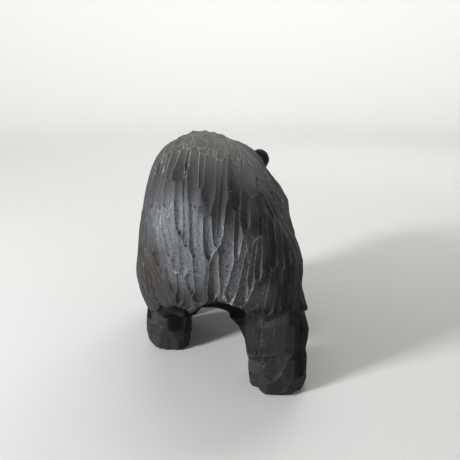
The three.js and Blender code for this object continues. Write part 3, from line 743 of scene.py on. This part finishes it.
def stained_wood():
    """Black-stained wood: satin, with pores, fine upright grain and paler, scuffed ridges, with light and
    shade painted into its colour: highlights on some ridges, a grey sheen on the rump, a reflection on the
    top of the back, and near-black shade under the coat and on the side away from the light.
    """
    material = bpy.data.materials.new("stained_wood")
    material.use_nodes = True
    tree = material.node_tree
    link = tree.links.new
    shader = tree.nodes["Principled BSDF"]
    place = node(tree, "ShaderNodeTexCoord")

    def noise(scale, stretch=(1, 1, 1), detail=3.0, rough=0.55):
        mapping = node(tree, "ShaderNodeMapping")
        mapping.inputs["Scale"].default_value = stretch
        link(place.outputs["Object"], mapping.inputs["Vector"])
        made = node(tree, "ShaderNodeTexNoise")
        made.inputs["Scale"].default_value = scale
        made.inputs["Detail"].default_value = detail
        made.inputs["Roughness"].default_value = rough
        link(mapping.outputs["Vector"], made.inputs["Vector"])
        return made.outputs["Fac"]

    def ramp(source, low, high, first=0.0, last=1.0):
        made = node(tree, "ShaderNodeMapRange")
        made.inputs["From Min"].default_value = low
        made.inputs["From Max"].default_value = high
        made.inputs["To Min"].default_value = first
        made.inputs["To Max"].default_value = last
        link(source, made.inputs["Value"])
        return made.outputs["Result"]

    def mix(factor, first, second):
        made = node(tree, "ShaderNodeMix", data_type="RGBA")
        for socket, value in ((made.inputs[0], factor), (made.inputs[6], first), (made.inputs[7], second)):
            if isinstance(value, (tuple, float)):
                socket.default_value = value
            else:
                link(value, socket)
        return made.outputs[2]

    def times(first, second):
        made = node(tree, "ShaderNodeMath", operation="MULTIPLY")
        for socket, value in zip(made.inputs, (first, second)):
            if isinstance(value, float):
                socket.default_value = value
            else:
                link(value, socket)
        return made.outputs[0]

    def height_of_point():
        parts = node(tree, "ShaderNodeSeparateXYZ")
        link(place.outputs["Object"], parts.inputs["Vector"])
        return parts.outputs["Z"]

    crest = node(tree, "ShaderNodeAttribute", attribute_name="crest").outputs["Fac"]
    scuffed_and_lit = node(tree, "ShaderNodeAttribute", attribute_name="scuffed_and_lit").outputs["Fac"]
    shade_mask = node(tree, "ShaderNodeAttribute", attribute_name="shade_mask").outputs["Fac"]
    brown = node(tree, "ShaderNodeAttribute", attribute_name="brown").outputs["Fac"]
    sheen_patch = node(tree, "ShaderNodeAttribute", attribute_name="sheen_patch").outputs["Fac"]
    wet = node(tree, "ShaderNodeAttribute", attribute_name="wet").outputs["Fac"]
    tone = node(tree, "ShaderNodeAttribute", attribute_name="tone").outputs["Fac"]
    grain = noise(1300, (1, 1, 0.22), 3.0, 0.6)
    patches = noise(45, (1, 1, 1), 2.0)
    speckle = noise(2300, (1, 1, 0.6), 2.0, 0.6)
    holes = node(tree, "ShaderNodeTexVoronoi", feature="F1")
    holes.inputs["Scale"].default_value = 260.0
    link(place.outputs["Object"], holes.inputs["Vector"])
    # Painted shade: near-black dots for small pits, which are not cut into the mesh.
    pits = times(ramp(holes.outputs["Distance"], 0.13, 0.09), ramp(noise(90, (1, 1, 1), 1.0), 0.54, 0.58))

    cool = mix(tone, STAIN_DARK, STAIN_PALE)
    stain = mix(times(brown, ramp(patches, 0.25, 0.50)), cool, BROWN)
    # Painted reflection: the top of the back, above 84 to 91 mm, turns a paler olive for the bright wall seen
    # at a grazing angle.
    olive = mix(times(ramp(height_of_point(), 0.084, 0.091), 0.8), stain, OLIVE)
    # Painted sheen: a speckled grey over the patches on the rump where the window light's reflection falls.
    sheen_amount = times(sheen_patch, ramp(speckle, 0.38, 0.62, 0.15, 1.0))
    sheened = mix(sheen_amount, olive, SHEEN_GREY)
    # Pale grain flecks: real grain, made stronger inside the painted sheen patches as painted sparkle.
    flecks = times(ramp(grain, 0.50, 0.68), ramp(sheen_patch, 0.0, 1.0, 0.20, 0.5))
    grained = mix(flecks, sheened, FLECK)
    # Paler ridges: partly scuffing, partly painted highlight, strongest in the painted sheen patches, on the
    # top and on the upper right flank, and weaker low down.
    thin = times(times(ramp(crest, 0.68, 1.0), ramp(scuffed_and_lit, 0.35, 0.90)), ramp(speckle, 0.32, 0.54))
    thin = times(thin, ramp(patches, 0.38, 0.58, 0.22, 1.0))
    thin = times(thin, ramp(height_of_point(), 0.022, 0.045, 0.15, 1.0))
    with_pale_ridges = mix(thin, grained, BARE_WOOD)
    pitted = mix(pits, with_pale_ridges, PIT)
    # Painted shade: the colour goes nearly black in the places given by the painted-shade attribute, and by
    # up to 0.45 on everything lower than 36 mm, most below 26 mm, under the coat.
    low = times(ramp(height_of_point(), 0.036, 0.026), 0.45)
    darkest = node(tree, "ShaderNodeMath", operation="MAXIMUM")
    link(shade_mask, darkest.inputs[0])
    link(low, darkest.inputs[1])
    stained = mix(darkest.outputs[0], pitted, SHADE_BLACK)
    colour = mix(wet, stained, WET)
    link(colour, shader.inputs["Base Color"])
    satin = times(ramp(speckle, 0.35, 0.65, 0.50, 0.75), ramp(sheen_patch, 0.0, 1.0, 1.0, 0.72))
    # rougher where shade is painted in, so that little reflection shows there
    dull = node(tree, "ShaderNodeMath", operation="MAXIMUM")
    link(satin, dull.inputs[0])
    link(shade_mask, dull.inputs[1])
    link(times(dull.outputs[0], ramp(wet, 0.0, 1.0, 1.0, 0.35)), shader.inputs["Roughness"])
    shader.inputs["Specular IOR Level"].default_value = 0.2

    bump = node(tree, "ShaderNodeBump")
    bump.inputs["Strength"].default_value = 0.9
    bump.inputs["Distance"].default_value = 0.2 * MM
    link(speckle, bump.inputs["Height"])
    link(bump.outputs["Normal"], shader.inputs["Normal"])
    return material


# ---------------------------------------------------------------- stage, camera and light

FLAT, BEND, WALL = 1.3, 0.6, 2.6             # metres: radius of the floor, radius of the bend, wall height
SPOKES = 96
RINGS_FLAT, RINGS_BENT = 4, 14


def floor():
    """A pale round sweep: flat round the bear, and curving up into a wall far from it on every side."""
    profile = [(FLAT * k / RINGS_FLAT, 0.0) for k in range(1, RINGS_FLAT + 1)]
    bend = np.linspace(0.1, math.pi / 2, RINGS_BENT)
    profile += [(FLAT + BEND * math.sin(a), BEND * (1 - math.cos(a))) for a in bend]
    profile.append((FLAT + BEND, WALL))
    turns = [2 * math.pi * k / SPOKES for k in range(SPOKES)]
    points = [(0, 0, 0)] + [(r * math.cos(a), r * math.sin(a), z) for r, z in profile for a in turns]
    faces = [(0, 1 + k, 1 + (k + 1) % SPOKES) for k in range(SPOKES)]
    for ring in range(len(profile) - 1):
        first = 1 + ring * SPOKES
        for k in range(SPOKES):
            after = (k + 1) % SPOKES
            faces.append((first + k, first + SPOKES + k, first + SPOKES + after, first + after))
    mesh = bpy.data.meshes.new("floor")
    mesh.from_pydata(points, [], faces)
    mesh.polygons.foreach_set("use_smooth", np.ones(len(mesh.polygons), bool))
    made = bpy.data.objects.new("floor", mesh)
    bpy.context.collection.objects.link(made)
    mesh.materials.append(pale_paint())


def pale_paint():
    """Matt pale paint that glows a little towards the wall, as a lit studio sweep does."""
    material = bpy.data.materials.new("pale_floor")
    material.use_nodes = True
    tree = material.node_tree
    shader = tree.nodes["Principled BSDF"]
    shader.inputs["Base Color"].default_value = (0.42, 0.415, 0.405, 1)
    shader.inputs["Roughness"].default_value = 0.8
    shader.inputs["Emission Color"].default_value = (1.0, 0.99, 0.97, 1)
    place = node(tree, "ShaderNodeTexCoord")
    distance = node(tree, "ShaderNodeVectorMath", operation="LENGTH")
    tree.links.new(place.outputs["Object"], distance.inputs[0])
    glow = node(tree, "ShaderNodeMapRange")
    glow.inputs["From Min"].default_value = 0.35
    glow.inputs["From Max"].default_value = 1.9
    glow.inputs["To Max"].default_value = 0.36
    tree.links.new(distance.outputs["Value"], glow.inputs["Value"])
    tree.links.new(glow.outputs["Result"], shader.inputs["Emission Strength"])
    return material


CAMERA_X, CAMERA_BEHIND, CAMERA_Z = -3.9, 149.9, 110.0   # mm; the second is measured from the rump
CAMERA_PITCH = math.radians(16)              # downwards
SENSOR, LENS = 36, 38.74


def camera():
    data = bpy.data.cameras.new("camera")
    data.sensor_width = SENSOR
    data.lens = LENS
    made = bpy.data.objects.new("camera", data)
    bpy.context.collection.objects.link(made)
    made.location = Vector((CAMERA_X, REAR + CAMERA_BEHIND, CAMERA_Z)) * MM
    made.rotation_euler = (math.pi / 2 - CAMERA_PITCH, 0, math.pi)
    bpy.context.scene.camera = made


def area_light(name, place, aim, size, power, colour=(1, 1, 1)):
    data = bpy.data.lights.new(name, "AREA")
    data.size = size
    data.energy = power
    data.color = colour
    made = bpy.data.objects.new(name, data)
    bpy.context.collection.objects.link(made)
    made.location = place
    made.rotation_euler = (Vector(aim) - Vector(place)).to_track_quat("-Z", "Y").to_euler()


def studio():
    middle = (0, 0, 0.05)
    area_light("window", (0.60, 0.38, 0.34), middle, size=0.14, power=11.5, colour=(0.95, 0.98, 1.0))
    area_light("overhead", (0.0, -0.35, 0.6), middle, size=0.4, power=0.8, colour=(1.0, 0.98, 0.95))
    area_light("front", (-0.30, -0.55, 0.60), middle, size=0.3, power=2.0)
    area_light("backdrop", (0.0, -0.6, 1.6), (0.0, -2.2, 0.6), size=1.0, power=26.0)
    world = bpy.data.worlds.new("studio")
    world.use_nodes = True
    background = world.node_tree.nodes["Background"]
    background.inputs["Color"].default_value = (0.9, 0.92, 0.95, 1)
    background.inputs["Strength"].default_value = 0.2
    bpy.context.scene.world = world
    bpy.context.scene.view_settings.view_transform = "Standard"


camera()
floor()
studio()
bear = build_bear()
bear.data.materials.append(stained_wood())
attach(bear, "root")
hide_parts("bear")
